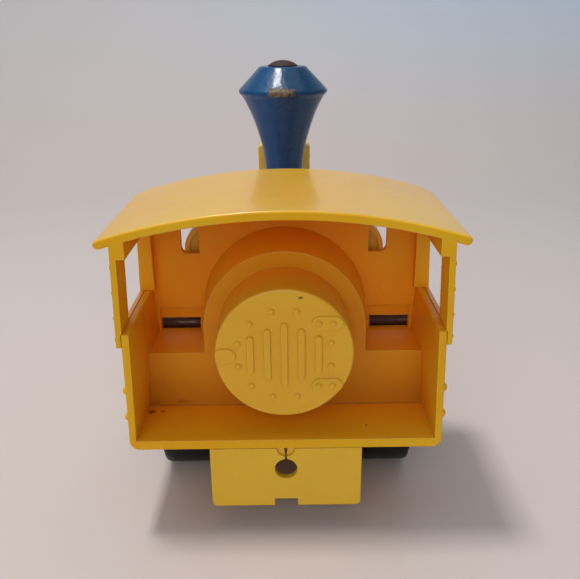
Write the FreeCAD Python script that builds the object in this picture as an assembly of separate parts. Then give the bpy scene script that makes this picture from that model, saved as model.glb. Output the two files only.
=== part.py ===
"""Toy steam locomotive: an open cab, a boiler shell, a turned smokestack and free-running wheels.

It is modelled in millimetres from the cab's rear face (y = 0) forwards and from the ground
(z = 0) upwards, and moved at export so that the origin is under the middle of its length.
"""
import FreeCAD, Part
import math
import os

from FreeCAD import Vector

# Overall
LENGTH = 176.0               # cab rear face to the toe of the pilot
AXIS_Z = 60.0                # boiler centre line
WALL = 2.2                   # common moulded wall

# Cab tub: floor, lower side walls, wheel wells and lower front wall
FLOOR_BOTTOM = AXIS_Z - 30.4
FLOOR_TOP = AXIS_Z - 27.3
SILL_Z = AXIS_Z + 7.4
LEDGE_Z = AXIS_Z - 8.4
TUB_HALF_BOTTOM = 46.6
TUB_HALF_SILL = 45.95
TUB_EDGE_R = 0.5
INNER_REAR = ((FLOOR_TOP, 44.5), (LEDGE_Z, 44.0), (SILL_Z, 43.65))
INNER_FRONT = ((FLOOR_TOP, 43.9), (LEDGE_Z, 42.5), (SILL_Z, 43.85))
LOWER_WALL_Y = 21.1
FRONT_WALL_Y = 38.6
FRONT_WALL_END = 41.0
SLOT_X = (28.55, 41.8)
SLOT_TOP = AXIS_Z - 3.9
WELL_INNER_X = 23.46
WELL_FRONT_Y = 66.0
WELL_FRONT_TOP = LEDGE_Z - 1.5

# Boiler hood inside the cab
HOOD_R = 25.46
HOOD_FRONT_R = 26.76
HOOD_SPRING_Z = (AXIS_Z - 0.6, AXIS_Z + 1.2)
HOOD_HOLLOW_R = 23.2

# Canopy: roof, posts, upper side panels and upper front wall
ROOF_HALF = 51.0
ROOF_LENGTH = 59.5
ROOF_THICK = 2.7
ROOF_CROWN_Z = AXIS_Z + 42.6
ROOF_ARC_R = 168.6
ROOF_CORNER_R = 8.0
ROOF_EDGE_R = 0.7
PANEL_BOTTOM_Z = AXIS_Z + 3.35
PANEL_HALF_BOTTOM = 47.45
PANEL_HALF_TOP = 46.7
PANEL_WALL = 1.75
HEADER_INNER_X = 42.6
HEADER_Z = AXIS_Z + 29.5
WINDOW_Y = (10.0, 35.5)
FRONT_WINDOW_X = (27.5, 33.5)
FRONT_WINDOW_Z = (AXIS_Z + 18.9, AXIS_Z + 31.0)

# Backhead with its fire door
DOOR_Y = 1.5
DOOR_R = 20.0
DRUM_R = 20.4
DRUM_FOOT_Z = AXIS_Z - 0.5
SPIGOT_R = 18.5
RIVET_RING_R = 13.83
RIVET_R = 1.05
RIVET_HEIGHT = 0.8
RIB_STEP = 4.9
RIB_LENGTHS = (11.8, 16.2, 20.0, 16.2, 11.8)
RIB_WIDTH = 2.0
RIB_PROUD = 0.75

# Boiler shell ahead of the cab
FLANGE_Y = (41.3, 46.8)
FLANGE_HALF = 32.6
FLANGE_TOP_Z = AXIS_Z + 28.0
FLANGE_CORNER_R = 8.0
FLANGE_WALL = 1.5
FLANGE_PAN = 1.4
FLANGE_SHOULDER_Z = AXIS_Z - 1.5
BARREL_R = 24.6
SMOKEBOX_R = 25.4
SMOKEBOX_Y = (96.0, 136.0)
DOME_Y = 74.0
STACK_Y = 108.0
STACK_SEAT_Z = AXIS_Z + 26.6

# Headlamp
LAMP_HALF = 11.1
LAMP_EAVE_Z = AXIS_Z + 40.3
LAMP_CROWN_Z = AXIS_Z + 41.5
LAMP_WAIST_Z = AXIS_Z + 35.2
LAMP_WAIST_STEP = 0.6
LAMP_Y = (122.0, 136.5)
REFLECTOR_Z = AXIS_Z + 32.9
REFLECTOR_R = 7.2

# Smokestack as (height above the boiler axis, radius)
STACK_PROFILE = ((26.6, 7.7), (34.0, 7.6), (42.0, 8.6), (48.1, 10.2), (55.6, 12.8), (62.3, 16.1))
STACK_RIM = (64.4, 17.5)
STACK_TOP = (73.6, 9.2)
STACK_BORE_R = 2.05

# Steel rods and the caps pressed on them
ROD_R = 2.0
CAP_R = 5.8
CAP_HEIGHT = 2.3
TIE_ROD_Y = 43.2
TIE_ROD_Z = AXIS_Z - 7.2
TIE_ROD_HALF = 47.7
TIE_ROD_EAR_X = 46.3

# Running gear
REAR_AXLE_Y = 43.5
REAR_WHEEL_R = 19.0
FRONT_AXLE_Y = 118.0
FRONT_WHEEL_R = 14.0
WHEEL_INNER_X = 26.4
WHEEL_OUTER_X = 42.4
TREAD_EDGE_R = 1.2
AXLE_HALF = 40.6
HOLE_CLEARANCE = 0.08

# Chassis, running board and pilot
FRAME_HALF = 22.9
FRAME_BOTTOM = 9.0
FRAME_PLATE = 2.1
FRAME_END_Y = 138.0
HITCH_R = 3.43
HITCH_Z = AXIS_Z - 37.55
NOTCH_HALF = 3.58
NOTCH_HEIGHT = 2.7
BOARD_Y = (66.2, 144.0)
BOARD_HALF = 38.0
BOARD_TOP = AXIS_Z - 27.7
PILOT_BAR_COUNT = 9
PILOT_TOP = FLOOR_BOTTOM - 5.6
PILOT_PEG_X = 12.0
PILOT_PEG_R = 1.6
SCREW_PLACES = ((15.0, 12.0), (13.0, 128.0))
SCREW_R = 1.45


def block(x_range, y_range, z_range):
    """Rectangular solid between three pairs of limits."""
    size = [high - low for low, high in (x_range, y_range, z_range)]
    return Part.makeBox(*size, Vector(x_range[0], y_range[0], z_range[0]))


def rod_x(x_range, y, z, radius):
    """Cylinder along X."""
    return Part.makeCylinder(radius, x_range[1] - x_range[0], Vector(x_range[0], y, z), Vector(1, 0, 0))


def rod_y(x, z, radius, y_range):
    """Cylinder along Y."""
    return Part.makeCylinder(radius, y_range[1] - y_range[0], Vector(x, y_range[0], z), Vector(0, 1, 0))


def rod_z(x, y, radius, z_range):
    """Cylinder along Z."""
    return Part.makeCylinder(radius, z_range[1] - z_range[0], Vector(x, y, z_range[0]), Vector(0, 0, 1))


def extruded(points, direction):
    """Prism of a straight-sided outline, swept along a vector."""
    outline = Part.makePolygon([Vector(*point) for point in (*points, points[0])])
    return Part.Face(outline).extrude(Vector(*direction))


def along_y(outline, y_range):
    """Prism of an outline given as (x, z) points, between two distances."""
    points = [(x, y_range[0], z) for x, z in outline]
    return extruded(points, (0, y_range[1] - y_range[0], 0))


def joined(shapes):
    """One solid from overlapping shapes, with its seams cleaned away."""
    return shapes[0].multiFuse(list(shapes[1:])).removeSplitter()


def mirrored(shape):
    """Copy on the other side of the centre plane."""
    return shape.mirror(Vector(0, 0, 0), Vector(1, 0, 0))


def both_sides(shape):
    """A shape and its mirror image."""
    return [shape, mirrored(shape)]


def softened(shape, radius, wanted):
    """Fillet of the edges for which wanted(edge) is true."""
    return shape.makeFillet(radius, [edge for edge in shape.Edges if wanted(edge)])


def spans(edge, axis):
    """Length of an edge's box along x, y or z."""
    box = edge.BoundBox
    return {"x": box.XLength, "y": box.YLength, "z": box.ZLength}[axis]


def turned(profile, base, axis):
    """Solid of revolution from (distance along the axis, radius) points."""
    axis = Vector(*axis)
    side = Vector(1, 0, 0) if abs(axis.x) < 0.5 else Vector(0, 0, 1)
    base = Vector(*base)
    points = [base + axis * along + side * radius for along, radius in profile]
    face = Part.Face(Part.makePolygon([*points, points[0]]))
    return face.revolve(base, axis, 360)


def stadium(x, z, width, height, y_range):
    """Plate with half-round ends, lying in the XZ plane and upright or level."""
    radius = min(width, height) / 2
    reach = abs(height - width) / 2
    upright = height > width
    dx, dz = (0, reach) if upright else (reach, 0)
    core_x = (x - radius, x + radius) if upright else (x - reach, x + reach)
    core_z = (z - reach, z + reach) if upright else (z - radius, z + radius)
    ends = [rod_y(x + sign * dx, z + sign * dz, radius, y_range) for sign in (-1, 1)]
    return joined([block(core_x, y_range, core_z), *ends])


def button(place, direction, radius, height):
    """Low domed rivet head standing on a surface, slightly sunk into it."""
    sphere_r = (radius ** 2 + height ** 2) / (2 * height)
    direction = Vector(*direction).normalize()
    centre = Vector(*place) - direction * (sphere_r - height)
    ball = Part.makeSphere(sphere_r, centre)
    keep = Part.makeCylinder(radius, height + 0.4, Vector(*place) - direction * 0.4, direction)
    return ball.common(keep)


def arched_wire(half, foot_z, spring_z, crown_z, y):
    """Closed outline with upright sides and an arched top."""
    feet = [Vector(side * half, y, foot_z) for side in (-1, 1)]
    springs = [Vector(side * half, y, spring_z) for side in (-1, 1)]
    arch = Part.Arc(springs[0], Vector(0, y, crown_z), springs[1]).toShape()
    return Part.Wire([
        Part.makeLine(feet[0], springs[0]), arch,
        Part.makeLine(springs[1], feet[1]), Part.makeLine(feet[1], feet[0])])


def tub_section(y_end):
    """Outside of the lower cab: drafted sides and rounded bottom corners."""
    outline = [(-TUB_HALF_BOTTOM, FLOOR_BOTTOM), (TUB_HALF_BOTTOM, FLOOR_BOTTOM),
               (TUB_HALF_SILL, SILL_Z), (-TUB_HALF_SILL, SILL_Z)]
    solid = along_y(outline, (0, y_end))
    return softened(solid, 2.8, lambda edge: spans(edge, "y") > 1 and edge.BoundBox.ZMax < FLOOR_TOP)


def tub_hollow():
    """Room between the lower side walls, a little narrower at its front end."""
    wires = []
    for places, y in ((INNER_REAR, 0), (INNER_FRONT, FRONT_WALL_END)):
        right = [Vector(half, y, z) for z, half in places]
        right.append(Vector(right[-1].x, y, SILL_Z + 1))
        left = [Vector(-point.x, y, point.z) for point in reversed(right)]
        wires.append(Part.makePolygon([*right, *left, right[0]]))
    return Part.makeLoft(wires, True, True)


def tray():
    """Floor and lower side walls, rounded along the sills and around the outside of the rear edge."""
    def on_show(edge):
        box = edge.BoundBox
        outside = box.ZMax < FLOOR_TOP - 0.01 or max(box.XMax, -box.XMin) > INNER_REAR[0][1] + 0.5
        return box.YMax < 0.01 and outside or box.ZMin > SILL_Z - 0.01 and spans(edge, "y") > 1

    return softened(tub_section(FRONT_WALL_END).cut(tub_hollow()), TUB_EDGE_R, on_show)


def well_profile(inset, x_range):
    """Wheel well seen from the side, drawn in by an inset on all of its faces."""
    rear, front = LOWER_WALL_Y + inset, WELL_FRONT_Y - inset
    high, low = LEDGE_Z - inset, WELL_FRONT_TOP - inset
    step_y = FRONT_WALL_END - inset
    bend = 10.0 - inset
    foot = FLOOR_BOTTOM - (1.0 if inset else 0.0)
    x = x_range[0]
    corner = bend * (1 - math.sqrt(0.5))
    line = [Vector(x, front, foot), Vector(x, rear, foot), Vector(x, rear, high), Vector(x, step_y, high),
            Vector(x, step_y, low), Vector(x, front - bend, low)]
    shoulder = Part.Arc(line[-1], Vector(x, front - corner, low - corner), Vector(x, front, low - bend))
    wire = Part.Wire([*Part.makePolygon(line).Edges, shoulder.toShape(),
                      Part.makeLine(Vector(x, front, low - bend), line[0])])
    return Part.Face(wire).extrude(Vector(x_range[1] - x_range[0], 0, 0))


def hood():
    """Tapered boiler hood that stands on the cab floor."""
    wires = []
    for radius, spring_z, y in zip((HOOD_R, HOOD_FRONT_R), HOOD_SPRING_Z, (LOWER_WALL_Y, FRONT_WALL_END)):
        wires.append(arched_wire(radius, FLOOR_TOP - 1, spring_z, spring_z + radius, y))
    return Part.makeLoft(wires, True, True)


def side_rivets(half, places, radius, height):
    """Rivet heads on the outside of a side wall, from (y, z) places."""
    heads = [button((half(z), y, z), (1, 0, 0), radius, height) for y, z in places]
    return [head for one in heads for head in both_sides(one)]


def tub_half(z):
    """Half width of the lower cab at a height."""
    share = (z - FLOOR_BOTTOM) / (SILL_Z - FLOOR_BOTTOM)
    return TUB_HALF_BOTTOM + share * (TUB_HALF_SILL - TUB_HALF_BOTTOM)


def cab_tub():
    """Floor, lower walls, wheel wells and boiler hood in one moulding."""
    front_wall = block((-45, 45), (FRONT_WALL_Y, FRONT_WALL_END), (FLOOR_TOP - 1, AXIS_Z))
    wells = well_profile(0, (WELL_INNER_X, 60)).common(tub_section(WELL_FRONT_Y))
    bridge = block((-24, 24), (FRONT_WALL_END - 1, WELL_FRONT_Y), (FLOOR_BOTTOM, FLOOR_TOP))
    ear = block((TIE_ROD_EAR_X - 2.4, TIE_ROD_EAR_X), (FRONT_WALL_END - 1, 48.0),
                (WELL_FRONT_TOP - 2, AXIS_Z - 1))
    ear = softened(ear, 3.0, lambda edge: spans(edge, "x") > 1 and edge.BoundBox.ZMin > AXIS_Z - 2)
    body = joined([tray(), front_wall, *both_sides(wells), bridge, *both_sides(ear), hood()])

    arch = arched_wire(HOOD_HOLLOW_R, FLOOR_TOP, AXIS_Z, AXIS_Z + HOOD_HOLLOW_R, LOWER_WALL_Y + WALL)
    hollow = Part.Face(arch).extrude(Vector(0, 30, 0))
    drum_hole = rod_y(0, AXIS_Z, SPIGOT_R + 0.05, (LOWER_WALL_Y - 1, LOWER_WALL_Y + WALL + 1))
    wheel_room = well_profile(2.0, (HOOD_R, 44.2))
    slot = block(SLOT_X, (FRONT_WALL_Y - 1, FRONT_WALL_END + 1), (LEDGE_Z, SLOT_TOP))
    lintel = block((HOOD_R - 0.2, SLOT_X[1]), (FRONT_WALL_Y - 1, FRONT_WALL_Y + 0.8),
                   (SLOT_TOP - 1, AXIS_Z + 1))
    lintel = lintel.cut(hood())
    rod_hole = rod_x((40, 50), TIE_ROD_Y, TIE_ROD_Z, ROD_R + 0.05)
    screw_holes = [rod_z(side * x, y, SCREW_R, (FLOOR_BOTTOM - 1, FLOOR_TOP - 0.6))
                   for x, y in SCREW_PLACES[:1] for side in (-1, 1)]
    cuts = [hollow, drum_hole, *screw_holes]
    for one in (wheel_room, slot, lintel, rod_hole):
        cuts.extend(both_sides(one))
    body = body.cut(cuts)

    column = [(1.9, z) for z in (AXIS_Z - 19.75, AXIS_Z - 11.1)]
    row = [(y, 35.5) for y in (10.6, 18.8, 27.0, 35.2, 43.4, 51.6, 59.8)]
    return joined([body, *side_rivets(tub_half, column, 1.35, 1.15), *side_rivets(tub_half, row, 1.2, 0.8)])


def roof_arc(offset, reach, y):
    """Arched edge across the roof, a given depth below its top, and its two ends."""
    radius = ROOF_ARC_R - offset
    centre = Vector(0, y, ROOF_CROWN_Z - ROOF_ARC_R)
    angle = math.asin(reach / (ROOF_ARC_R - ROOF_THICK / 2))
    ends = [centre + Vector(side * math.sin(angle), 0, math.cos(angle)) * radius for side in (-1, 1)]
    return ends, Part.Arc(ends[0], centre + Vector(0, 0, radius), ends[1]).toShape()


def roof():
    """Arched roof with half-round side tips and rounded front corners."""
    reach = ROOF_HALF - ROOF_THICK / 2
    top_ends, top = roof_arc(0, reach, 0)
    low_ends, low = roof_arc(ROOF_THICK, reach, 0)
    tips = []
    for side, above, below in zip((-1, 1), top_ends, low_ends):
        upright = (above - below) * 0.5
        outward = Vector(upright.z, 0, -upright.x) * side
        tips.append(Part.Arc(above, (above + below) * 0.5 + outward, below).toShape())
    section = Part.Face(Part.Wire(Part.__sortEdges__([top, low, *tips])))
    sheet = section.extrude(Vector(0, ROOF_LENGTH, 0))
    sheet = softened(sheet, ROOF_EDGE_R, lambda edge: spans(edge, "y") < 0.01)
    plan = block((-ROOF_HALF, ROOF_HALF), (0, ROOF_LENGTH), (FLOOR_TOP, ROOF_CROWN_Z + 5))
    front = [edge for edge in plan.Edges if spans(edge, "z") > 1 and edge.BoundBox.YMin > 1]
    return sheet.common(plan.makeFillet(ROOF_CORNER_R, front))


def below_roof():
    """Space under the roof's mid-surface, which trims the walls that meet it."""
    ends, arc = roof_arc(ROOF_THICK / 2, 50.0, -1)
    feet = [Vector(end.x, -1, FLOOR_BOTTOM) for end in ends]
    wire = Part.Wire([Part.makeLine(feet[0], ends[0]), arc, Part.makeLine(ends[1], feet[1]),
                      Part.makeLine(feet[1], feet[0])])
    return Part.Face(wire).extrude(Vector(0, ROOF_LENGTH, 0))


def panel_half(z):
    """Half width over the raised side panels at a height."""
    share = (z - PANEL_BOTTOM_Z) / (ROOF_CROWN_Z - 10 - PANEL_BOTTOM_Z)
    return PANEL_HALF_BOTTOM + share * (PANEL_HALF_TOP - PANEL_HALF_BOTTOM)


def side_panel():
    """Right-hand upper side: lapped skirt, two posts and the header over the window."""
    top = ROOF_CROWN_Z
    lap_x = tub_half(PANEL_BOTTOM_Z) + 0.02
    outline = [(lap_x, PANEL_BOTTOM_Z), (panel_half(PANEL_BOTTOM_Z), PANEL_BOTTOM_Z),
               (panel_half(top), top), (panel_half(top) - PANEL_WALL, top),
               (panel_half(SILL_Z) - PANEL_WALL, SILL_Z), (lap_x, SILL_Z)]
    panel = along_y(outline, (0, FRONT_WALL_END))
    inner = (HEADER_INNER_X, PANEL_HALF_TOP - PANEL_WALL / 2)
    header = block(inner, (0, FRONT_WALL_END), (HEADER_Z, top))
    corner = block(inner, (WINDOW_Y[1], FRONT_WALL_END), (SILL_Z, top))
    window = block((HEADER_INNER_X - 1, 50), WINDOW_Y, (SILL_Z, HEADER_Z))
    return joined([panel, header, corner]).cut(window)


def front_window():
    """Right-hand front window, its lower outer corner rounded."""
    window = block(FRONT_WINDOW_X, (FRONT_WALL_Y - 1, FRONT_WALL_END + 1), FRONT_WINDOW_Z)
    low = FRONT_WINDOW_Z[0] + 0.1
    outer = FRONT_WINDOW_X[1] - 0.1
    return softened(window, 2.2, lambda edge: edge.BoundBox.ZMax < low and edge.BoundBox.XMin > outer)


def cab_canopy():
    """Roof, posts, upper side panels and upper front wall in one moulding."""
    half = PANEL_HALF_TOP - PANEL_WALL / 2
    wall = block((-half, half), (FRONT_WALL_Y, FRONT_WALL_END), (AXIS_Z, ROOF_CROWN_Z))
    wall = wall.cut([hood(), tray(), *both_sides(front_window())])
    sides = joined([wall, *both_sides(side_panel())]).common(below_roof())
    body = joined([roof(), sides])
    places = [(1.5, z) for z in (65.4, 72.0, 79.5, 87.0)]
    places += [(y, 65.4) for y in (9.6, 16.6, 23.6, 30.6, 37.6)]
    return joined([body, *side_rivets(panel_half, places, 0.95, 0.6)])


def fire_door():
    """Raised detail on the fire door: ribs, rivets, hinge straps and a latch."""
    sunk = (DOOR_Y - RIB_PROUD, DOOR_Y + 0.3)
    pieces = []
    for index, length in enumerate(RIB_LENGTHS):
        rib = stadium((index - 2) * RIB_STEP, AXIS_Z, RIB_WIDTH, length, sunk)
        pieces.append(softened(rib, 0.35, lambda edge: edge.BoundBox.YMax < sunk[0] + 0.01))
    strap_y = DOOR_Y - 0.6
    for index in range(12):
        angle = math.radians(15 + 30 * index)
        x, z = RIVET_RING_R * math.cos(angle), RIVET_RING_R * math.sin(angle)
        on_strap = x > 0 and abs(abs(z) - 9.78) < 0.1
        face_y = strap_y if on_strap else DOOR_Y
        pieces.append(button((x, face_y, AXIS_Z + z), (0, -1, 0), RIVET_R, RIVET_HEIGHT))
        if on_strap:
            strap = stadium(12.35, AXIS_Z + z, 8.9, 4.2, (strap_y, DOOR_Y + 0.3))
            pieces.append(softened(strap, 0.3, lambda edge: edge.BoundBox.YMax < strap_y + 0.01))
            pieces.append(button((13.8, strap_y, AXIS_Z + z), (0, -1, 0), RIVET_R, RIVET_HEIGHT))
    latch = stadium(-17.2, AXIS_Z - 0.2, 6.4, 4.5, (strap_y - 0.1, DOOR_Y + 0.3))
    pieces.append(softened(latch, 0.3, lambda edge: edge.BoundBox.YMax < strap_y - 0.09))
    within = rod_y(0, AXIS_Z, DOOR_R - 0.15, (DOOR_Y - 3, DOOR_Y + 3))
    return [piece.common(within) for piece in pieces]


def backhead():
    """Hollow drum that closes the boiler, with the fire door on its rear face."""
    rim = 0.7
    rim_y, foot_y, end_y = DOOR_Y + rim, LOWER_WALL_Y - 0.02, LOWER_WALL_Y + 4
    profile = [(DOOR_Y, 0), (DOOR_Y, DOOR_R - rim), (DOOR_Y + 0.2, DOOR_R - 0.2), (rim_y, DOOR_R), (rim_y, 0)]
    door = turned(profile, (0, 0, AXIS_Z), (0, 1, 0))
    rings = [Part.Wire(Part.makeCircle(radius, Vector(0, y, z), Vector(0, 1, 0)))
             for radius, y, z in ((DOOR_R, rim_y, AXIS_Z), (DRUM_R, foot_y, DRUM_FOOT_Z))]
    spigot = rod_y(0, AXIS_Z, SPIGOT_R, (foot_y - 2, end_y))
    drum = joined([door, Part.makeLoft(rings, True, True), spigot])
    bore = rod_y(0, AXIS_Z, SPIGOT_R - WALL, (DOOR_Y + WALL, end_y + 1))
    return joined([drum.cut(bore), *fire_door()])


def flange_outline(inset, y):
    """Boiler flange outline: rounded top corners, narrowed to pass between the wheel wells."""
    half, top = FLANGE_HALF - inset, FLANGE_TOP_Z - inset
    bend = FLANGE_CORNER_R - inset
    waist, foot = WELL_INNER_X - 0.2, FLOOR_TOP + 0.3
    corner = bend * (1 - math.sqrt(0.5))
    edges = [Part.makeLine(Vector(-half + bend, y, top), Vector(half - bend, y, top))]
    for side in (-1, 1):
        start, end = Vector(side * (half - bend), y, top), Vector(side * half, y, top - bend)
        middle = Vector(side * (half - corner), y, top - corner)
        points = [end, Vector(side * half, y, FLANGE_SHOULDER_Z), Vector(side * waist, y, FLANGE_SHOULDER_Z),
                  Vector(side * waist, y, foot)]
        edges += [Part.Arc(start, middle, end).toShape(), *Part.makePolygon(points).Edges]
    edges.append(Part.makeLine(Vector(-waist, y, foot), Vector(waist, y, foot)))
    return Part.Face(Part.Wire(Part.__sortEdges__(edges)))


def boiler_flange():
    """Shallow pan that the boiler ends in, open towards the cab and holed for the tie rod."""
    near, far = FLANGE_Y
    outer = flange_outline(0, near).extrude(Vector(0, far - near, 0))
    half = FLANGE_HALF - FLANGE_WALL
    pan = block((-half, half), (near - 1, near + FLANGE_PAN),
                (FLANGE_SHOULDER_Z + FLANGE_WALL, FLANGE_TOP_Z - FLANGE_WALL))
    pan = softened(pan, FLANGE_CORNER_R - FLANGE_WALL,
                   lambda edge: spans(edge, "y") > 1 and edge.BoundBox.ZMin > FLANGE_TOP_Z - 2)
    low_half = WELL_INNER_X - 0.2 - FLANGE_WALL
    room = block((-low_half, low_half), (near - 1, far - FLANGE_WALL),
                 (FLOOR_BOTTOM, FLANGE_SHOULDER_Z + FLANGE_WALL))
    return outer.cut([pan, room, rod_x((-40, 40), TIE_ROD_Y, TIE_ROD_Z, ROD_R + 0.05)])


def steam_dome():
    """Steam dome with a flared foot, moulded on the barrel."""
    crown = AXIS_Z + 35.0
    foot = AXIS_Z + 20.0
    profile = [(foot, 0), (foot, 10.5), (AXIS_Z + 23.6, 10.3), (AXIS_Z + 25.6, 8.6), (AXIS_Z + 31.0, 8.2),
               (AXIS_Z + 33.4, 7.2), (AXIS_Z + 34.7, 4.4), (crown, 0)]
    return turned(profile, (0, DOME_Y, 0), (0, 0, 1))


def boiler_shell():
    """Boiler barrel and smokebox with flange, bands, dome, stack seat and saddle."""
    smokebox_y, front_y = SMOKEBOX_Y
    barrel = rod_y(0, AXIS_Z, BARREL_R, (FLANGE_Y[1] - 1, smokebox_y + 1))
    smokebox = rod_y(0, AXIS_Z, SMOKEBOX_R, (smokebox_y, front_y))
    bands = [rod_y(0, AXIS_Z, BARREL_R + 0.5, (y, y + 2.4)) for y in (68.0, 86.0)]
    seat = rod_z(0, STACK_Y, 9.0, (AXIS_Z + 18, STACK_SEAT_Z))
    saddle = block((-16, 16), (112, 134), (BOARD_TOP, AXIS_Z - 15))
    solid = joined([barrel, smokebox, *bands, steam_dome(), seat, saddle])
    room = rod_y(0, AXIS_Z, BARREL_R - WALL, (FLANGE_Y[1], front_y + 1))
    stack_hole = rod_z(0, STACK_Y, STACK_BORE_R, (AXIS_Z, STACK_SEAT_Z + 1))
    screw_holes = [rod_z(side * x, y, SCREW_R, (BOARD_TOP - 1, BOARD_TOP + 8))
                   for x, y in SCREW_PLACES[1:] for side in (-1, 1)]
    solid = solid.cut([room, stack_hole, *screw_holes])
    rivets = []
    for y in (smokebox_y + 2.5, front_y - 2.5):
        for index in range(24):
            angle = math.radians(7.5 + 15 * index)
            radial = (math.cos(angle), 0, math.sin(angle))
            under_lamp = y > LAMP_Y[0] and radial[2] > 0.8
            if not under_lamp and (abs(radial[0]) > 0.5 or radial[2] > 0):
                place = (SMOKEBOX_R * radial[0], y, AXIS_Z + SMOKEBOX_R * radial[2])
                rivets.append(button(place, radial, 0.8, 0.45))
    return joined([solid, boiler_flange(), *rivets])


def smokebox_front():
    """Front plate with a dished door, hinge straps, clamps and a spigot."""
    plate_y = SMOKEBOX_Y[1]
    profile = [(plate_y - 4, 22.2), (plate_y, 22.2), (plate_y, SMOKEBOX_R), (plate_y + 2.2, SMOKEBOX_R),
               (plate_y + 2.8, SMOKEBOX_R - 0.7), (plate_y + 2.8, 19.4), (plate_y + 4.2, 19.0),
               (plate_y + 5.6, 14.5), (plate_y + 6.4, 8.0), (plate_y + 6.6, 0), (plate_y + 3.6, 0),
               (plate_y + 2.6, 14.0), (plate_y + 0.4, 19.8), (plate_y - 4, 20.0)]
    plate = turned(profile, (0, 0, AXIS_Z), (0, 1, 0))
    boss = turned([(plate_y + 5, 0), (plate_y + 5, 3.6), (plate_y + 7.6, 3.2), (plate_y + 8.2, 2.2),
                   (plate_y + 8.2, 0)], (0, 0, AXIS_Z), (0, 1, 0))
    pieces = [plate, boss]
    for sign in (-1, 1):
        strap = stadium(11.6, AXIS_Z + sign * 7.0, 18.0, 3.2, (plate_y + 2, plate_y + 6.6))
        pieces.append(strap)
    for index in range(8):
        angle = math.radians(22.5 + 45 * index)
        place = (21.6 * math.cos(angle), plate_y + 2.8, AXIS_Z + 21.6 * math.sin(angle))
        pieces.append(button(place, (0, 1, 0), 1.3, 0.9))
    return joined(pieces)


def lamp_house(z_low, y_range):
    """Upper house of the lamp: a box with an arched top and rounded edges."""
    outline = arched_wire(LAMP_HALF, z_low, LAMP_EAVE_Z, LAMP_CROWN_Z, y_range[0])
    house = Part.Face(outline).extrude(Vector(0, y_range[1] - y_range[0], 0))
    house = softened(house, 1.0, lambda edge: spans(edge, "y") > 1 and edge.BoundBox.ZMin > z_low + 1)
    return softened(house, 0.5, lambda edge: spans(edge, "y") < 0.01 and edge.BoundBox.ZMax > z_low + 1)


def headlamp():
    """Lamp house over a narrower foot, with a round reflector, seated on the smokebox."""
    rear, front = LAMP_Y
    inset = 0.1
    foot = block((inset - LAMP_HALF, LAMP_HALF - inset), (rear + LAMP_WAIST_STEP, front - LAMP_WAIST_STEP),
                 (AXIS_Z + 16, LAMP_WAIST_Z + 1))
    seat = rod_y(0, AXIS_Z, SMOKEBOX_R + 0.02, (rear - 5, front + 5))
    lens_ring = rod_y(0, REFLECTOR_Z, REFLECTOR_R + 1.0, (front - 3, front + 0.6)).cut(seat)
    cup = turned([(front + 1, 0), (front + 1, REFLECTOR_R), (front - 2.6, REFLECTOR_R - 0.8),
                  (front - 3.9, REFLECTOR_R * 0.55), (front - 4.5, 0)], (0, 0, REFLECTOR_Z), (0, 1, 0))
    bulb = turned([(front - 5.5, 0), (front - 5.5, 2.2), (front - 2.8, 2.2), (front - 1.5, 1.6),
                   (front - 1.0, 0)], (0, 0, REFLECTOR_Z), (0, 1, 0))
    body = joined([lamp_house(LAMP_WAIST_Z, LAMP_Y), foot, lens_ring])
    return joined([body.cut([seat, cup]), bulb])


def smokestack():
    """Turned diamond stack with a bore for its rod."""
    radius = STACK_RIM[1]
    heights = [AXIS_Z + height for height, _ in STACK_PROFILE]
    flare = Part.BSplineCurve()
    flare.interpolate([Vector(r, 0, z) for z, (_, r) in zip(heights, STACK_PROFILE)])
    rim_low = Vector(radius - 0.25, 0, AXIS_Z + STACK_RIM[0] - 0.9)
    rim_mid = Vector(radius, 0, AXIS_Z + STACK_RIM[0])
    rim_high = Vector(radius - 0.5, 0, AXIS_Z + STACK_RIM[0] + 0.9)
    top_z = AXIS_Z + STACK_TOP[0]
    shoulder = Vector(STACK_TOP[1] + 0.15, 0, top_z - 0.35)
    crown = Vector(STACK_TOP[1] - 0.5, 0, top_z)
    bore = [Vector(STACK_BORE_R, 0, top_z), Vector(STACK_BORE_R, 0, heights[0])]
    foot = Vector(STACK_PROFILE[0][1], 0, heights[0])
    edges = [flare.toShape(), Part.makeLine(Vector(STACK_PROFILE[-1][1], 0, heights[-1]), rim_low),
             Part.Arc(rim_low, rim_mid, rim_high).toShape(),
             *Part.makePolygon([rim_high, shoulder, crown, *bore, foot]).Edges]
    stack = Part.Face(Part.Wire(edges)).revolve(Vector(0, 0, 0), Vector(0, 0, 1), 360)
    stack.translate(Vector(0, STACK_Y, 0))
    return stack


def stack_rod():
    """Steel rod that ties the stack down to the smokebox."""
    return rod_z(0, STACK_Y, ROD_R, (AXIS_Z + 12, AXIS_Z + STACK_TOP[0] + 1.2))


def press_cap(place, direction, radius, height):
    """Domed spring cap pressed on a rod end, hollow under its crown."""
    profile = [(0, ROD_R), (0, radius), (0.35, radius), (height * 0.55, radius * 0.75),
               (height * 0.87, radius * 0.42), (height, 0), (height - 0.5, 0), (height - 0.6, ROD_R)]
    return turned(profile, place, direction)


def stack_cap():
    """Cap over the stack's rod."""
    return press_cap((0, STACK_Y, AXIS_Z + STACK_TOP[0]), (0, 0, 1), CAP_R, CAP_HEIGHT)


def stack_rod_retainer():
    """Spring cap on the rod's lower end, under the seat inside the smokebox."""
    washer_top = AXIS_Z + BARREL_R - WALL - 0.6
    return turned([(0, ROD_R), (0, 5.0), (-0.5, 5.0), (-2.0, 3.2), (-2.0, ROD_R)],
                  (0, STACK_Y, washer_top), (0, 0, 1))


def tie_rod():
    """Steel rod that pins the boiler flange and the cab together."""
    return rod_x((-TIE_ROD_HALF, TIE_ROD_HALF), TIE_ROD_Y, TIE_ROD_Z, ROD_R)


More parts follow.
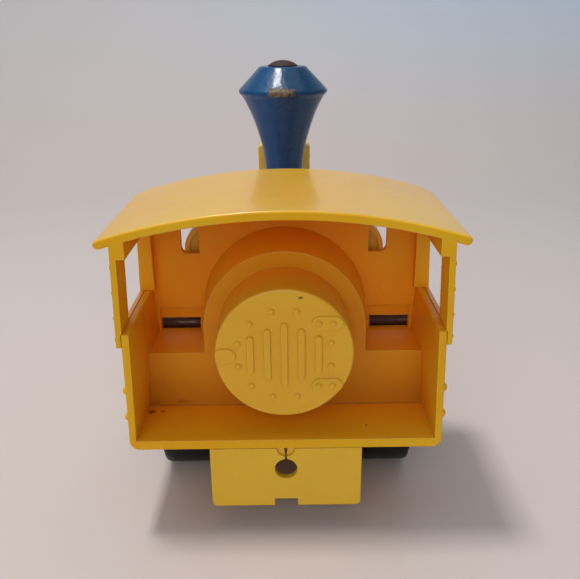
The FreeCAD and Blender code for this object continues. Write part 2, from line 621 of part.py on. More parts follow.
def cap_pair(half, y, z, radius, height):
    """Two spring caps facing outwards on a rod along X."""
    cap = press_cap((half, y, z), (1, 0, 0), radius, height)
    return Part.makeCompound(both_sides(cap))


def wheel(radius, spokes):
    """Right-hand wheel: hollow tread, spoked web and hub, turned about the origin along X."""
    low, high = WHEEL_INNER_X, WHEEL_OUTER_X
    tread = radius - 2.4
    web = (high - 6.2, high - 4.0)
    hub = 5.4
    soft = TREAD_EDGE_R
    slant = soft * (1 - math.sqrt(0.5))
    profile = [(low, tread), (low, radius - soft), (low + slant, radius - slant), (low + soft, radius),
               (high - soft, radius), (high - slant, radius - slant), (high, radius - soft),
               (high - 0.3, tread - 0.2), (web[1], tread - 0.6), (web[1], hub), (high - 2.6, hub - 0.4),
               (high - 2.6, ROD_R), (low + 2.0, ROD_R), (low + 2.0, hub), (web[0], hub + 0.3),
               (web[0], tread - 0.4)]
    disc = turned(profile, (0, 0, 0), (1, 0, 0))
    pieces = [disc]
    reach = tread - 0.3
    for index in range(spokes):
        spoke = block((web[1] - 0.3, web[1] + 1.7), (-1.1, 1.1), (hub - 0.8, reach))
        spoke.rotate(Vector(0, 0, 0), Vector(1, 0, 0), 360 * index / spokes)
        pieces.append(spoke)
    return joined(pieces)


def placed_wheels(radius, spokes, axle_y):
    """Left and right wheels standing on the ground at an axle."""
    right = wheel(radius, spokes)
    right.translate(Vector(0, axle_y, radius))
    return mirrored(right), right


def axle(axle_y, radius):
    """Steel axle through the frame and both wheels."""
    return rod_x((-AXLE_HALF, AXLE_HALF), axle_y, radius, ROD_R)


def hitch_cuts():
    """Drawbar hole, its moulding slit and scallop, and the notch in the plate's lower edge."""
    span = (-1, FRAME_PLATE + 1)
    hole = rod_y(0, HITCH_Z, HITCH_R, span)
    top = FLOOR_BOTTOM
    slit = along_y([(-0.65, top + 0.1), (0.65, top + 0.1), (0.18, top - 2.6), (0.5, HITCH_Z + 3.1),
                    (-0.5, HITCH_Z + 3.1), (-0.18, top - 2.6)], span)
    scallop = rod_y(0, top, 2.75, (-1, 0.9))
    notch = block((-NOTCH_HALF, NOTCH_HALF), span, (FRAME_BOTTOM - 1, FRAME_BOTTOM + NOTCH_HEIGHT))
    return [hole, slit, scallop, notch]


def chassis_frame():
    """Channel between the wheels, its rear end forming the hitch plate."""
    top = FLOOR_BOTTOM
    outer = block((-FRAME_HALF, FRAME_HALF), (0, FRAME_END_Y), (FRAME_BOTTOM, top))
    outer = softened(outer, 1.6, lambda edge: spans(edge, "y") > 1 and edge.BoundBox.ZMax < top - 5)
    outer = softened(outer, 0.5, lambda edge: edge.BoundBox.YMax < 0.01 and edge.BoundBox.ZMin < top - 1)
    inner_half = FRAME_HALF - WALL
    rooms_y = ((FRAME_PLATE, 74.0), (76.0, FRAME_END_Y - FRAME_PLATE))
    rooms = [block((-inner_half, inner_half), y_range, (FRAME_BOTTOM - 1, top - FRAME_PLATE))
             for y_range in rooms_y]
    relief = block((-30, 30), (66.0, 100.0), (FRAME_BOTTOM - 1, 16.0))
    holes = [rod_x((-30, 30), y, radius, ROD_R + HOLE_CLEARANCE)
             for y, radius in ((REAR_AXLE_Y, REAR_WHEEL_R), (FRONT_AXLE_Y, FRONT_WHEEL_R))]
    screw_holes = [rod_z(side * x, y, SCREW_R + 0.15, (top - 4, top + 1))
                   for x, y in SCREW_PLACES for side in (-1, 1)]
    return outer.cut([*rooms, relief, *holes, *screw_holes, *hitch_cuts()])


def running_board():
    """Plate beside the boiler with a raised edge, ending in the buffer beam."""
    top = BOARD_TOP
    low_y, high_y = BOARD_Y
    plate = block((-BOARD_HALF, BOARD_HALF), (low_y, high_y), (FLOOR_BOTTOM, top))
    edge = block((BOARD_HALF - 1.6, BOARD_HALF), (low_y, high_y), (FLOOR_BOTTOM, top + 1.0))
    beam = block((-BOARD_HALF, BOARD_HALF), (high_y - 4.0, high_y), (FLOOR_BOTTOM - 5.5, top + 3.2))
    screw_holes = [rod_z(side * x, y, SCREW_R + 0.15, (FLOOR_BOTTOM - 1, top + 1))
                   for x, y in SCREW_PLACES[1:] for side in (-1, 1)]
    peg_holes = [rod_z(side * PILOT_PEG_X, high_y - 2.0, PILOT_PEG_R + 0.05, (PILOT_TOP - 1, PILOT_TOP + 3.2))
                 for side in (-1, 1)]
    treads = []
    for index in range(9):
        y = low_y + 5 + index * 7.6
        treads.append(block((26.5, BOARD_HALF - 3.2), (y, y + 1.2), (top - 0.1, top + 0.45)))
    ribs = [one for tread in treads for one in both_sides(tread)]
    buffers = [rod_y(side * 28.0, FLOOR_BOTTOM - 0.9, 3.4, (high_y - 0.1, high_y + 1.6)) for side in (-1, 1)]
    body = joined([plate, *both_sides(edge), beam, *ribs, *buffers])
    return body.cut([*peg_holes, *screw_holes])


def pilot_bar(share):
    """One slanted bar of the pilot, at a share from -1 (left) to 1 (right)."""
    top_z, low_z = PILOT_TOP, 5.5
    top_y = BOARD_Y[1] + 10.0 - 7.0 * abs(share)
    low_y = LENGTH - 2.6 - 23.0 * abs(share)
    wires = []
    for x, y, z in ((share * 17.0, top_y, top_z), (share * 31.0, low_y, low_z)):
        offsets = ((-1.2, -1.6), (1.2, -1.6), (1.2, 1.6), (-1.2, 1.6))
        corners = [Vector(x + dx, y + dy, z) for dx, dy in offsets]
        wires.append(Part.makePolygon([*corners, corners[0]]))
    return Part.makeLoft(wires, True, True)


def front_pilot():
    """Pilot (cowcatcher) with slanted bars between a top shelf and a bottom rail."""
    top_z = PILOT_TOP
    back_y = BOARD_Y[1] - 4.0
    front_y = BOARD_Y[1]
    plan = [(-21, back_y), (21, back_y), (19, front_y + 5.5), (0, front_y + 13.5), (-19, front_y + 5.5)]
    shelf = extruded([(x, y, top_z - 2.4) for x, y in plan], (0, 0, 2.4))
    toe, heel = LENGTH, LENGTH - 24.0
    plan = [(-33, heel), (0, toe), (33, heel), (33, heel - 4), (0, toe - 6.2), (-33, heel - 4)]
    rail = extruded([(x, y, 4.2) for x, y in plan], (0, 0, 2.8))
    stem = block((-2.0, 2.0), (BOARD_Y[1], BOARD_Y[1] + 14.0), (top_z - 8.0, top_z - 1))
    steps = PILOT_BAR_COUNT - 1
    bars = [pilot_bar(2 * index / steps - 1) for index in range(PILOT_BAR_COUNT)]
    pegs = [rod_z(side * PILOT_PEG_X, BOARD_Y[1] - 2.0, PILOT_PEG_R, (top_z - 1, top_z + 3.0))
            for side in (-1, 1)]
    return joined([shelf, rail, stem, *bars, *pegs])


def chassis_screws():
    """Pan-head screws that hold the frame to the tub, the running board and the smokebox saddle."""
    screws = []
    head_z = FLOOR_BOTTOM - FRAME_PLATE
    for x, y in SCREW_PLACES:
        length = 7.5 if y > BOARD_Y[0] else 4.4
        for side in (-1, 1):
            profile = [(-1.7, 0), (-1.7, 1.6), (-1.2, 2.4), (-0.02, 2.8), (-0.02, SCREW_R - 0.05),
                       (length - 1, SCREW_R - 0.05), (length, 0.3), (length, 0)]
            screw = turned(profile, (side * x, y, head_z), (0, 0, 1))
            cross = [block((side * x - a, side * x + a), (y - b, y + b), (head_z - 2.0, head_z - 0.9))
                     for a, b in ((1.5, 0.3), (0.3, 1.5))]
            screws.append(screw.cut(cross))
    return Part.makeCompound(screws)


def export(name, shape):
    """Write one node, moved so that the origin is under the middle of the length."""
    moved = shape.copy()
    moved.translate(Vector(0, -LENGTH / 2, 0))
    moved.exportStep(f"parts/{name}.step")


os.makedirs("parts", exist_ok=True)
rear_left, rear_right = placed_wheels(REAR_WHEEL_R, 10, REAR_AXLE_Y)
front_left, front_right = placed_wheels(FRONT_WHEEL_R, 8, FRONT_AXLE_Y)
hub_face = WHEEL_OUTER_X - 2.6
nodes = {
    "cab_tub": cab_tub(),
    "cab_canopy": cab_canopy(),
    "backhead": backhead(),
    "boiler_shell": boiler_shell(),
    "smokebox_front": smokebox_front(),
    "headlamp": headlamp(),
    "smokestack": smokestack(),
    "stack_rod": stack_rod(),
    "stack_cap": stack_cap(),
    "stack_rod_retainer": stack_rod_retainer(),
    "tie_rod": tie_rod(),
    "tie_rod_caps": cap_pair(TIE_ROD_EAR_X + 0.1, TIE_ROD_Y, TIE_ROD_Z, 4.2, 2.0),
    "chassis_frame": chassis_frame(),
    "running_board": running_board(),
    "front_pilot": front_pilot(),
    "chassis_screws": chassis_screws(),
    "rear_axle": axle(REAR_AXLE_Y, REAR_WHEEL_R),
    "rear_wheel_left": rear_left,
    "rear_wheel_right": rear_right,
    "rear_axle_caps": cap_pair(hub_face, REAR_AXLE_Y, REAR_WHEEL_R, 4.4, 2.2),
    "front_axle": axle(FRONT_AXLE_Y, FRONT_WHEEL_R),
    "front_wheel_left": front_left,
    "front_wheel_right": front_right,
    "front_axle_caps": cap_pair(hub_face, FRONT_AXLE_Y, FRONT_WHEEL_R, 4.4, 2.2),
}
for node_name, node_shape in nodes.items():
    export(node_name, node_shape)
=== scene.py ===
import math

import bpy
from mathutils import Matrix, Vector


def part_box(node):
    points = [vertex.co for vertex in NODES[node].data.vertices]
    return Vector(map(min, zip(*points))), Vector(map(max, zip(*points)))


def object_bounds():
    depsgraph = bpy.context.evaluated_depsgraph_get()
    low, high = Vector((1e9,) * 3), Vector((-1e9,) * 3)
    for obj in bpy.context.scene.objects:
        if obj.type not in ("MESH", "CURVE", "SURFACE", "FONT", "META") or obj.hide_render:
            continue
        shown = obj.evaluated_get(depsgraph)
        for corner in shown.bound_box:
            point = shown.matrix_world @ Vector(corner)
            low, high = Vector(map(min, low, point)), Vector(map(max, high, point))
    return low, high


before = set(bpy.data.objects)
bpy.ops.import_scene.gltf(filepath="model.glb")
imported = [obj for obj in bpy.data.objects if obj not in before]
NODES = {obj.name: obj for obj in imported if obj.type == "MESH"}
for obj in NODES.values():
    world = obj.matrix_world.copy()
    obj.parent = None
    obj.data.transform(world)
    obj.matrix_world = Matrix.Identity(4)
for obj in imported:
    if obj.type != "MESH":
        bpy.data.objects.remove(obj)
cad_low, cad_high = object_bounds()
MM = 0.001

# Places on the locomotive that the materials refer to, in millimetres.
REAR_Y = cad_low.y / MM                  # the open rear edge of the roof
CAB_FLOOR_Z = 32.7
LOWER_WALL_Y = REAR_Y + 21.1             # the cab's front wall below the ledges
UPPER_WALL_Y = REAR_Y + 38.6             # the cab's front wall above the ledges
LOWER_PINS = ((-35.9, 40.9), (35.5, 40.9))   # x and z of the ejector-pin rings
LOWER_PIN_RADIUS = 3.9
UPPER_PINS = ((-35.1, 67.0), (35.1, 67.0))
UPPER_PIN_RADIUS = 3.4
STACK_RIM_BELOW_TOP = 9.2                # from the stack's top down to its widest ring

# Indices of the colour inputs and output of Blender's Mix node.
MIX_FIRST, MIX_SECOND, MIX_RESULT = 6, 7, 2


# ---------------------------------------------------------------- node trees
class Tree:
    """A material under construction: each method adds nodes and returns their output."""

    def __init__(self, name):
        self.material = bpy.data.materials.new(name)
        self.material.use_nodes = True
        self.tree = self.material.node_tree
        self.tree.nodes.clear()
        self.shader = self.tree.nodes.new("ShaderNodeBsdfPrincipled")
        output = self.tree.nodes.new("ShaderNodeOutputMaterial")
        self.tree.links.new(self.shader.outputs[0], output.inputs["Surface"])
        coordinates = self.tree.nodes.new("ShaderNodeTexCoord").outputs["Object"]
        self.mm = self.vector("SCALE", coordinates, scale=1 / MM)

    def put(self, socket, value):
        """Links an output to a socket, or sets the socket's own value."""
        if isinstance(value, bpy.types.NodeSocket):
            self.tree.links.new(value, socket)
        elif value is not None:
            socket.default_value = value

    def vector(self, operation, first, second=None, scale=None):
        made = self.tree.nodes.new("ShaderNodeVectorMath")
        made.operation = operation
        self.put(made.inputs[0], first)
        self.put(made.inputs[1], second)
        if scale is not None:
            made.inputs["Scale"].default_value = scale
        wanted = "Value" if operation in ("LENGTH", "DOT_PRODUCT", "DISTANCE") else "Vector"
        return made.outputs[wanted]

    def math(self, operation, first, second=None, third=None):
        made = self.tree.nodes.new("ShaderNodeMath")
        made.operation = operation
        for socket, value in zip(made.inputs, (first, second, third)):
            self.put(socket, value)
        return made.outputs[0]

    def times(self, first, second):
        return self.math("MULTIPLY", first, second)

    def away(self, value, centre):
        """Distance between two numbers."""
        return self.math("ABSOLUTE", self.math("SUBTRACT", value, centre))

    def axis(self, name, source=None):
        made = self.tree.nodes.new("ShaderNodeSeparateXYZ")
        self.put(made.inputs[0], source or self.mm)
        return made.outputs[name]

    def noise(self, scale, detail=3.0, roughness=0.5, shift=0.0, stretch=None):
        """Noise of so many features per millimetre; shift moves it to a fresh place."""
        place = self.vector("ADD", self.mm, (shift, shift * 0.7, -shift))
        if stretch:
            place = self.vector("MULTIPLY", place, stretch)
        made = self.tree.nodes.new("ShaderNodeTexNoise")
        self.put(made.inputs["Vector"], place)
        made.inputs["Scale"].default_value = scale
        made.inputs["Detail"].default_value = detail
        made.inputs["Roughness"].default_value = roughness
        return made.outputs[0]

    def span(self, value, low, high, to_low=0.0, to_high=1.0, smooth=True):
        """Maps low..high to to_low..to_high, clamped."""
        made = self.tree.nodes.new("ShaderNodeMapRange")
        made.interpolation_type = "SMOOTHSTEP" if smooth else "LINEAR"
        for socket, number in zip(made.inputs, (value, low, high, to_low, to_high)):
            self.put(socket, number)
        return made.outputs[0]

    def mix(self, share, first, second):
        """Colour that goes from first to second as share goes from 0 to 1."""
        made = self.tree.nodes.new("ShaderNodeMix")
        made.data_type = "RGBA"
        self.put(made.inputs[0], share)
        self.put(made.inputs[MIX_FIRST], first)
        self.put(made.inputs[MIX_SECOND], second)
        return made.outputs[MIX_RESULT]

    def openness(self, reach):
        """1 on open surfaces, falling towards 0 in corners and joints."""
        made = self.tree.nodes.new("ShaderNodeAmbientOcclusion")
        made.samples = 8
        made.inputs["Distance"].default_value = reach * MM
        return made.outputs["AO"]

    def rounded(self, radius):
        """Surface normal with its sharp edges softened."""
        made = self.tree.nodes.new("ShaderNodeBevel")
        made.samples = 4
        made.inputs["Radius"].default_value = radius * MM
        return made.outputs[0]

    def edges(self, soft_normal):
        """1 along sharp edges, 0 on flats."""
        true_normal = self.tree.nodes.new("ShaderNodeNewGeometry").outputs["True Normal"]
        return self.span(self.vector("DOT_PRODUCT", soft_normal, true_normal), 0.995, 0.86)

    def upward(self):
        """1 on surfaces that face up, 0 on upright ones and undersides."""
        normal = self.tree.nodes.new("ShaderNodeNewGeometry").outputs["Normal"]
        return self.span(self.axis("Z", normal), 0.35, 0.75)

    def bump(self, height, depth, normal=None):
        """Normal from a height map, with its full height in millimetres."""
        made = self.tree.nodes.new("ShaderNodeBump")
        made.inputs["Strength"].default_value = 1.0
        made.inputs["Distance"].default_value = depth * MM
        self.put(made.inputs["Height"], height)
        self.put(made.inputs["Normal"], normal)
        return made.outputs[0]

    def dot(self, place, radius):
        """1 in one small round dot, 0 elsewhere."""
        return self.span(self.vector("DISTANCE", self.mm, place), radius, radius * 0.5)

    def ring(self, place, radius, normal):
        """Normal with one fine groove pressed in, as an ejector pin leaves it."""
        reach = self.away(self.vector("DISTANCE", self.mm, place), radius)
        return self.bump(self.span(reach, 0.45, 0.1), -0.05, normal)

    def finish(self, **values):
        for name, value in values.items():
            self.put(self.shader.inputs[name.replace("_", " ")], value)
        return self.material


def rgb(red, green, blue):
    return (red, green, blue, 1.0)


def dress(material, *names):
    """Gives CAD nodes one material for all of their faces."""
    for name in names:
        mesh = NODES[name].data
        mesh.materials.clear()
        mesh.materials.append(material)


# ---------------------------------------------------------------- yellow plastic
PALE, DEEP = (0.86, 0.500, 0.018), (0.84, 0.440, 0.010)
SHADED = rgb(0.93, 0.275, 0.008)         # light that has bounced about inside the cab
MOTTLED = rgb(0.88, 0.56, 0.04)
# painted highlight: the pale yellow of open sharp edges
EDGE_HIGHLIGHT = rgb(0.94, 0.72, 0.18)
# painted shade with dirt: the dark brown that corners and joints turn
CORNER_SHADE_AND_DIRT = rgb(0.30, 0.075, 0.012)
RUST_STAIN = rgb(0.20, 0.011, 0.006)
SEAM_DIRT = rgb(0.30, 0.050, 0.012)
LOW_WALL_SHADE = rgb(0.42, 0.125, 0.012)
FLOOR_SPECK = rgb(0.06, 0.015, 0.01)
DOOR_SPECK = rgb(0.10, 0.05, 0.02)
SOAK_RADIUS = (1.0, 0.30, 0.04)          # red light goes deepest, blue hardly in


def yellow_plastic(name, shift, pale=PALE, deep=DEEP, gloss=0.30, coat=0.0, depth=0.0,
                   glow=1.2, soak=0.35, sheen=0.40, shade_and_dirt_amount=0.12, smeared=0.10,
                   skin_depth=0.010, marks=None):
    """Aged glossy moulded plastic: painted orange bounce light in the cab, painted shade and
    dirt in corners.

    gloss is its roughness and smeared what finger smears add to it, sheen its reflection,
    coat an extra gloss on upward faces, depth the painted bounce light deep in the cab, soak
    and glow how much and how far (mm) light goes into it, grimy the painted shade and dirt in
    its corners, and skin_depth the fine texture (mm).
    """
    t = Tree(name)
    broad = t.span(t.noise(0.022, 3, shift=shift), 0.35, 0.68)
    mottle = t.span(t.noise(0.12, 2, 0.5, shift=shift), 0.3, 0.75)
    colour = t.mix(broad, rgb(*deep), rgb(*pale))
    colour = t.mix(t.times(mottle, 0.12), colour, MOTTLED)

    # Painted bounce light: deep inside the cab the colour turns towards SHADED, less so near
    # the open rear edge.
    enclosed = t.span(t.openness(45.0), 0.92, 0.30, smooth=False)
    inward = t.span(t.math("SUBTRACT", t.axis("Y"), REAR_Y), 3, 20, 0.25, 1.0)
    enclosed = t.times(enclosed, inward)
    colour = t.mix(t.times(enclosed, depth), colour, SHADED)

    soft = t.rounded(0.45)
    open_air = t.openness(5.0)
    # Painted highlight: open sharp edges turn pale yellow.
    edge_highlight = t.times(t.edges(soft), t.span(open_air, 0.55, 0.85))
    colour = t.mix(t.times(edge_highlight, 0.55), colour, EDGE_HIGHLIGHT)
    patchy = t.span(t.noise(0.35, 6, 0.65, shift=shift + 9), 0.42, 0.72)
    # Painted shade with dirt: corners and joints turn dark brown, patchy with noise, and
    # rougher.
    corner = t.span(open_air, 0.50, 0.14)
    corner_shade_and_dirt = t.times(corner, t.math("MULTIPLY_ADD", patchy, shade_and_dirt_amount, 0.02))
    colour = t.mix(corner_shade_and_dirt, colour, CORNER_SHADE_AND_DIRT)

    smear = t.noise(0.09, 5, 0.6, shift=shift + 31, stretch=(1, 1, 0.35))
    smear = t.span(smear, 0.38, 0.7)
    rough = t.math("MULTIPLY_ADD", smear, smeared, gloss)
    rough = t.math("MULTIPLY_ADD", corner_shade_and_dirt, 0.5, rough)

    skin = t.noise(1.6, 3, 0.55, shift=shift)
    sink = t.noise(0.06, 2, 0.4, shift=shift + 4)
    normal = t.bump(skin, skin_depth, t.bump(sink, 0.25, soft))
    if marks:
        colour, normal = marks(t, colour, normal)

    t.shader.inputs["Subsurface Radius"].default_value = SOAK_RADIUS
    if coat:
        sheen = t.math("MULTIPLY_ADD", t.upward(), 0.30, sheen)
        t.put(t.shader.inputs["Coat Weight"], t.times(t.upward(), coat))
    return t.finish(Base_Color=colour, Roughness=rough, Normal=normal,
                    Specular_IOR_Level=sheen, Subsurface_Weight=soak,
                    Subsurface_Scale=glow * MM, Coat_Roughness=0.10)


def cab_marks(t, colour, normal):
    """Rust stains, dirt in the floor's seam and ejector-pin rings inside the cab."""
    # Each stain: its middle, its half sizes (both mm) and its strength.
    stains = [
        ((-42.3, LOWER_WALL_Y, CAB_FLOOR_Z + 1.1), (1.9, 1.0, 0.6), 0.50),
        ((-33.3, LOWER_WALL_Y, CAB_FLOOR_Z + 1.4), (2.8, 1.0, 0.7), 0.50),
        ((-42.9, REAR_Y + 17.2, CAB_FLOOR_Z), (1.3, 1.3, 1.0), 0.75),
        ((-39.4, REAR_Y + 17.3, CAB_FLOOR_Z), (0.8, 0.7, 1.0), 0.5),
    ]
    ragged = t.math("MULTIPLY_ADD", t.noise(1.3, 6, 0.8, shift=61), 3.0, -1.5)
    stain = None
    for place, size, strength in stains:
        away = t.vector("SUBTRACT", t.mm, place)
        away = t.vector("MULTIPLY", away, tuple(1 / half for half in size))
        reach = t.math("ADD", t.vector("LENGTH", away), ragged)
        one = t.span(reach, 1.20, 0.55, 0.0, strength)
        stain = one if stain is None else t.math("MAXIMUM", stain, one)
    colour = t.mix(stain, colour, RUST_STAIN)

    from_wall = t.away(t.axis("Y"), LOWER_WALL_Y)
    on_floor = t.span(t.axis("Z"), CAB_FLOOR_Z + 0.9, CAB_FLOOR_Z + 0.1)
    seam = t.times(t.span(from_wall, 1.0, 0.2), on_floor)
    seam = t.times(seam, t.span(t.noise(0.25, 4, 0.6, shift=7), 0.35, 0.6))
    colour = t.mix(t.times(seam, 0.30), colour, SEAM_DIRT)
    speck = t.dot((24.9, REAR_Y + 7.7, CAB_FLOOR_Z), 0.45)
    colour = t.mix(speck, colour, FLOOR_SPECK)
    low_wall = t.times(t.span(from_wall, 0.6, 0.2), t.span(t.axis("Z"), 50, 34, 0.30, 0.60))
    colour = t.mix(low_wall, colour, LOW_WALL_SHADE)
    for x, z in LOWER_PINS:
        normal = t.ring((x, LOWER_WALL_Y, z), LOWER_PIN_RADIUS, normal)
    return colour, normal


def door_marks(t, colour, normal):
    """Two specks near the top of the fire door's drum."""
    for place, radius in (((4.5, REAR_Y + 1.5, 77.4), 0.55),
                          ((5.0, REAR_Y + 1.5, 77.5), 0.45)):
        colour = t.mix(t.times(t.dot(place, radius), 0.8), colour, DOOR_SPECK)
    return colour, normal


def canopy_marks(t, colour, normal):
    """Ejector-pin rings on the cab's upper front wall."""
    for x, z in UPPER_PINS:
        normal = t.ring((x, UPPER_WALL_Y, z), UPPER_PIN_RADIUS, normal)
    return colour, normal


# ---------------------------------------------------------------- the other materials
def blue_enamel(name, axis_y, rim_z):
    """Thick glossy enamel on a turned piece, worn through on the rim where it was held.

    axis_y and rim_z place the stack's axis and its widest ring, in millimetres.
    """
    t = Tree(name)
    tone = t.span(t.noise(0.06, 4), 0.35, 0.7)
    colour = t.mix(tone, rgb(0.006, 0.064, 0.235), rgb(0.007, 0.084, 0.310))
    # Painted shade: the upper cone, above the widest ring, is a duller, darker blue.
    height = t.axis("Z")
    upper = t.span(height, rim_z - 0.6, rim_z + 0.8)
    colour = t.mix(t.times(upper, 0.75), colour, rgb(0.005, 0.080, 0.185))
    # Painted shade: the stack's right side is a darker blue.
    right_side_shade = t.span(t.axis("X"), -6, 5)
    colour = t.mix(t.times(right_side_shade, 0.75), colour, rgb(0.007, 0.040, 0.095))

    soft = t.rounded(0.5)
    near_rim = t.span(t.away(height, rim_z + 0.4), 2.4, 0.4)
    across = t.math("ABSOLUTE", t.math("ADD", t.axis("X"), 0.6))
    behind = t.math("LESS_THAN", t.axis("Y"), axis_y)
    facing = t.times(t.span(across, 7.5, 2.5), behind)
    ragged = t.noise(0.75, 6, 0.75, shift=3)
    worn = t.times(near_rim, facing)
    worn = t.math("ADD", worn, t.math("MULTIPLY_ADD", ragged, 2.0, -1.0))
    worn = t.span(worn, 0.42, 0.58)
    chips = t.times(t.edges(soft), t.span(t.noise(0.9, 5, 0.7, shift=11), 0.52, 0.62))
    worn = t.math("MAXIMUM", worn, t.times(chips, 0.8))
    bare = t.mix(t.span(ragged, 0.35, 0.65), rgb(0.060, 0.032, 0.020), rgb(0.24, 0.17, 0.11))
    colour = t.mix(worn, colour, bare)
    dust = t.span(t.noise(0.7, 6, 0.6, shift=23), 0.5, 0.8)
    colour = t.mix(t.times(dust, 0.10), colour, rgb(0.30, 0.34, 0.38))

    uneven = t.span(t.noise(0.3, 4), 0.3, 0.7, 0.18, 0.26)
    rough = t.math("MULTIPLY_ADD", worn, 0.3, uneven)
    wave = t.noise(0.22, 4, 0.6, stretch=(1, 1, 0.7))
    pit = t.noise(1.3, 4, 0.6)
    normal = t.bump(pit, 0.035, t.bump(wave, 0.30, soft))
    normal = t.bump(worn, -0.12, normal)
    return t.finish(Base_Color=colour, Roughness=rough, Normal=normal,
                    Specular_IOR_Level=0.32)


def black_plastic(name, shift):
    """Moulded black wheel plastic, dusty in its hollows and scuffed on the tread."""
    t = Tree(name)
    tone = t.span(t.noise(0.12, 4, shift=shift), 0.35, 0.7)
    colour = t.mix(tone, rgb(0.004, 0.004, 0.006), rgb(0.009, 0.009, 0.012))
    soft = t.rounded(0.4)
    hollow = t.span(t.openness(4.0), 0.7, 0.2)
    dust = t.times(hollow, t.span(t.noise(0.5, 5, 0.6, shift=shift), 0.3, 0.7))
    colour = t.mix(t.times(dust, 0.12), colour, rgb(0.10, 0.085, 0.075))
    scuff = t.span(t.noise(1.1, 6, 0.7, shift=shift + 5, stretch=(0.25, 1, 1)), 0.55, 0.72)
    colour = t.mix(t.times(scuff, 0.14), colour, rgb(0.10, 0.10, 0.105))
    rough = t.math("MULTIPLY_ADD", scuff, 0.2, 0.36)
    normal = t.bump(t.noise(1.8, 4, 0.6, shift=shift), 0.02, soft)
    return t.finish(Base_Color=colour, Roughness=rough, Normal=normal,
                    Specular_IOR_Level=0.25)


def steel(name, shift, clean, rust, amount):
    """Drawn or pressed steel under an uneven brown film; amount is how much of it, 0 to 1."""
    t = Tree(name)
    film = t.noise(0.35, 6, 0.65, shift=shift)
    film = t.span(film, 0.62 - amount * 0.5, 0.80 - amount * 0.5)
    grain = t.noise(1.7, 5, 0.7, shift=shift + 2)
    brown = t.mix(grain, rgb(*rust), rgb(rust[0] * 2.1, rust[1] * 1.8, rust[2] * 1.6))
    colour = t.mix(film, rgb(*clean), brown)
    rough = t.span(film, 0, 1, 0.30, 0.62)
    normal = t.bump(grain, 0.03, t.rounded(0.25))
    metal = t.span(film, 0, 1, 1.0, 0.25)
    return t.finish(Base_Color=colour, Roughness=rough, Metallic=metal, Normal=normal)


def cloth(name):
    """Pale floor and backdrop, warm below and cooler towards the upper right."""
    t = Tree(name)
    rise = t.span(t.axis("Z"), 10, 200)
    across = t.span(t.axis("X"), -260, 320)
    wall = t.mix(across, rgb(0.67, 0.675, 0.70), rgb(0.60, 0.72, 0.87))
    colour = t.mix(rise, rgb(0.69, 0.61, 0.585), wall)
    broad = t.span(t.noise(0.004, 3), 0.35, 0.65)
    colour = t.mix(t.times(broad, 0.12), colour, rgb(0.70, 0.66, 0.64))
    weave = t.noise(2.5, 2, 0.5)
    fold = t.noise(0.006, 2, 0.45, stretch=(1, 0.6, 0.5))
    normal = t.bump(weave, 0.03, t.bump(fold, 5.0))
    return t.finish(Base_Color=colour, Roughness=0.85, Normal=normal,
                    Specular_IOR_Level=0.2)


# ---------------------------------------------------------------- materials on the pieces
# depth in these calls sets how much painted bounce light turns each plastic orange deep in
# the cab.
tub_yellow = yellow_plastic("tub_yellow", 0, depth=0.55, glow=1.6, soak=0.45, sheen=0.14,
                            shade_and_dirt_amount=0.18, marks=cab_marks)
canopy_yellow = yellow_plastic("canopy_yellow", 40, gloss=0.31, coat=0.5, depth=0.75,
                               soak=0.20, sheen=0.12, smeared=0.05, skin_depth=0.003,
                               marks=canopy_marks)
door_yellow = yellow_plastic("door_yellow", 80, pale=(0.83, 0.475, 0.022),
                             deep=(0.81, 0.445, 0.016), depth=0.65, shade_and_dirt_amount=0.05,
                             marks=door_marks)
boiler_yellow = yellow_plastic("boiler_yellow", 120)
front_yellow = yellow_plastic("front_yellow", 160)
# Painted light: a paler copy of the yellow plastic that stands in for light the headlamp's
# rear face gets too little of.
headlamp_lit_yellow = yellow_plastic("headlamp_lit_yellow", 180, pale=(0.94, 0.69, 0.17),
                             deep=(0.92, 0.63, 0.12), soak=0.1)
frame_yellow = yellow_plastic("frame_yellow", 200, pale=(0.84, 0.53, 0.028),
                              deep=(0.82, 0.49, 0.022), depth=0.30)
dress(tub_yellow, "cab_tub")
dress(canopy_yellow, "cab_canopy")
dress(door_yellow, "backhead")
dress(boiler_yellow, "boiler_shell")
dress(front_yellow, "smokebox_front")
dress(headlamp_lit_yellow, "headlamp")
dress(frame_yellow, "chassis_frame", "running_board", "front_pilot")

stack_low, stack_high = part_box("smokestack")
stack_y = (stack_low.y + stack_high.y) / 2 / MM
rim_height = stack_high.z / MM - STACK_RIM_BELOW_TOP
dress(blue_enamel("stack_blue", stack_y, rim_height), "smokestack")

dress(black_plastic("rear_wheel_black", 0), "rear_wheel_left", "rear_wheel_right")
dress(black_plastic("front_wheel_black", 50), "front_wheel_left", "front_wheel_right")
dress(steel("rod_steel", 0, (0.30, 0.27, 0.24), (0.060, 0.030, 0.018), 0.55),
      "stack_rod", "rear_axle", "front_axle")
dress(steel("tie_rod_steel", 60, (0.10, 0.075, 0.07), (0.045, 0.018, 0.014), 0.5),
      "tie_rod")
dress(steel("cap_rust", 20, (0.09, 0.06, 0.055), (0.026, 0.013, 0.011), 0.9),
      "stack_cap", "stack_rod_retainer", "tie_rod_caps", "rear_axle_caps", "front_axle_caps")
dress(steel("screw_zinc", 40, (0.55, 0.54, 0.52), (0.10, 0.06, 0.035), 0.15),
      "chassis_screws")


# ---------------------------------------------------------------- stage, light and camera
FLOOR_STEPS = 16                         # straight pieces in the floor's upward curve
PHOTO_WIDTH_PX = 580
FOCAL_PX = 695.65                        # focal length, in the photograph's pixels
SENSOR_MM = 36.0
CAMERA_PITCH, CAMERA_ROLL = 0.36, -0.012     # radians
# The camera is this far right of the centre plane, behind the cab and above the floor.
CAMERA_RIGHT_MM, CAMERA_BEHIND_MM, CAMERA_UP_MM = 1.832, 178.21, 147.62
ROOM_COLOUR = (0.80, 0.82, 0.86, 1.0)
ROOM_STRENGTH = 0.22


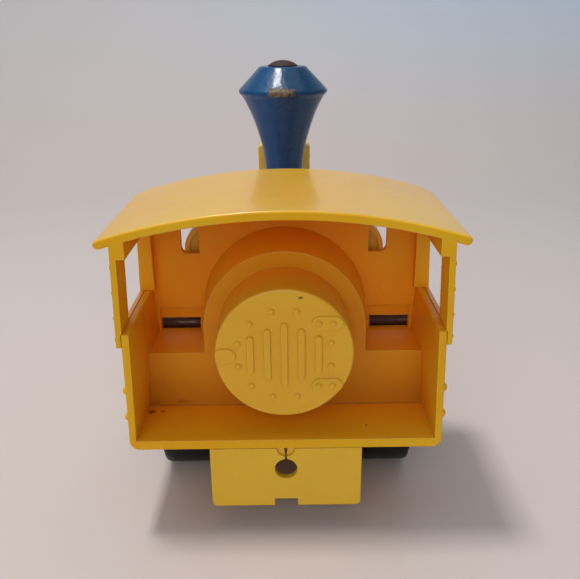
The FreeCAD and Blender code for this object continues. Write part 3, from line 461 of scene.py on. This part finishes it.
def sweep(width, near_y, wall_y, radius, height):
    """Floor that curves up into a backdrop."""
    line = [(near_y, 0.0), (wall_y - radius, 0.0)]
    for step in range(1, FLOOR_STEPS + 1):
        angle = math.pi / 2 * step / FLOOR_STEPS
        line.append((wall_y - radius + radius * math.sin(angle),
                     radius - radius * math.cos(angle)))
    line.append((wall_y, height))
    mesh = bpy.data.meshes.new("stage_floor")
    points = [(side * width / 2, y, z) for y, z in line for side in (-1, 1)]
    faces = [(2 * i, 2 * i + 1, 2 * i + 3, 2 * i + 2) for i in range(len(line) - 1)]
    mesh.from_pydata(points, [], faces)
    mesh.shade_smooth()
    sheet = bpy.data.objects.new("stage_floor", mesh)
    bpy.context.collection.objects.link(sheet)
    mesh.materials.append(cloth("stage_cloth"))


def softbox(name, place, target, size, power, colour):
    """Rectangular area light aimed at a point."""
    data = bpy.data.lights.new(name, "AREA")
    data.shape = "RECTANGLE"
    data.size, data.size_y = size
    data.energy = power
    data.color = colour
    lamp = bpy.data.objects.new(name, data)
    bpy.context.collection.objects.link(lamp)
    lamp.location = place
    towards = Vector(target) - Vector(place)
    lamp.rotation_euler = towards.to_track_quat("-Z", "Y").to_euler()


def photo_camera():
    """Camera at the photograph's viewpoint, behind the cab and looking forwards and down."""
    right = Vector((1, 0, 0))
    up = Vector((0, math.sin(CAMERA_PITCH), math.cos(CAMERA_PITCH)))
    turned_right = right * math.cos(CAMERA_ROLL) + up * math.sin(CAMERA_ROLL)
    turned_up = up * math.cos(CAMERA_ROLL) - right * math.sin(CAMERA_ROLL)
    back = turned_right.cross(turned_up)
    data = bpy.data.cameras.new("photo_camera")
    data.sensor_fit = "HORIZONTAL"
    data.sensor_width = SENSOR_MM
    data.lens = FOCAL_PX / PHOTO_WIDTH_PX * SENSOR_MM
    data.clip_start = 0.01
    camera = bpy.data.objects.new("photo_camera", data)
    bpy.context.collection.objects.link(camera)
    basis = Matrix((turned_right, turned_up, back)).transposed().to_4x4()
    basis.translation = Vector((CAMERA_RIGHT_MM * MM, cad_low.y - CAMERA_BEHIND_MM * MM,
                                CAMERA_UP_MM * MM))
    camera.matrix_world = basis
    bpy.context.scene.camera = camera


sweep(width=8.0, near_y=-4.0, wall_y=0.62, radius=0.25, height=1.6)
softbox("key", place=(-0.17, -0.03, 1.0), target=(0, 0, 0.05), size=(0.12, 0.12),
        power=4.3, colour=(1.0, 0.98, 0.95))
softbox("ceiling", place=(-0.1, 0.15, 1.25), target=(0, 0, 0.05), size=(1.4, 1.2),
        power=3.8, colour=(0.94, 0.97, 1.0))
softbox("room_behind", place=(-0.12, -0.85, 0.42), target=(0, 0, 0.07), size=(0.9, 0.5),
        power=2.30, colour=(1.0, 0.99, 0.97))
world = bpy.data.worlds.new("room")
world.use_nodes = True
world.node_tree.nodes["Background"].inputs["Color"].default_value = ROOM_COLOUR
world.node_tree.nodes["Background"].inputs["Strength"].default_value = ROOM_STRENGTH
bpy.context.scene.world = world
bpy.context.scene.view_settings.view_transform = "Standard"
photo_camera()
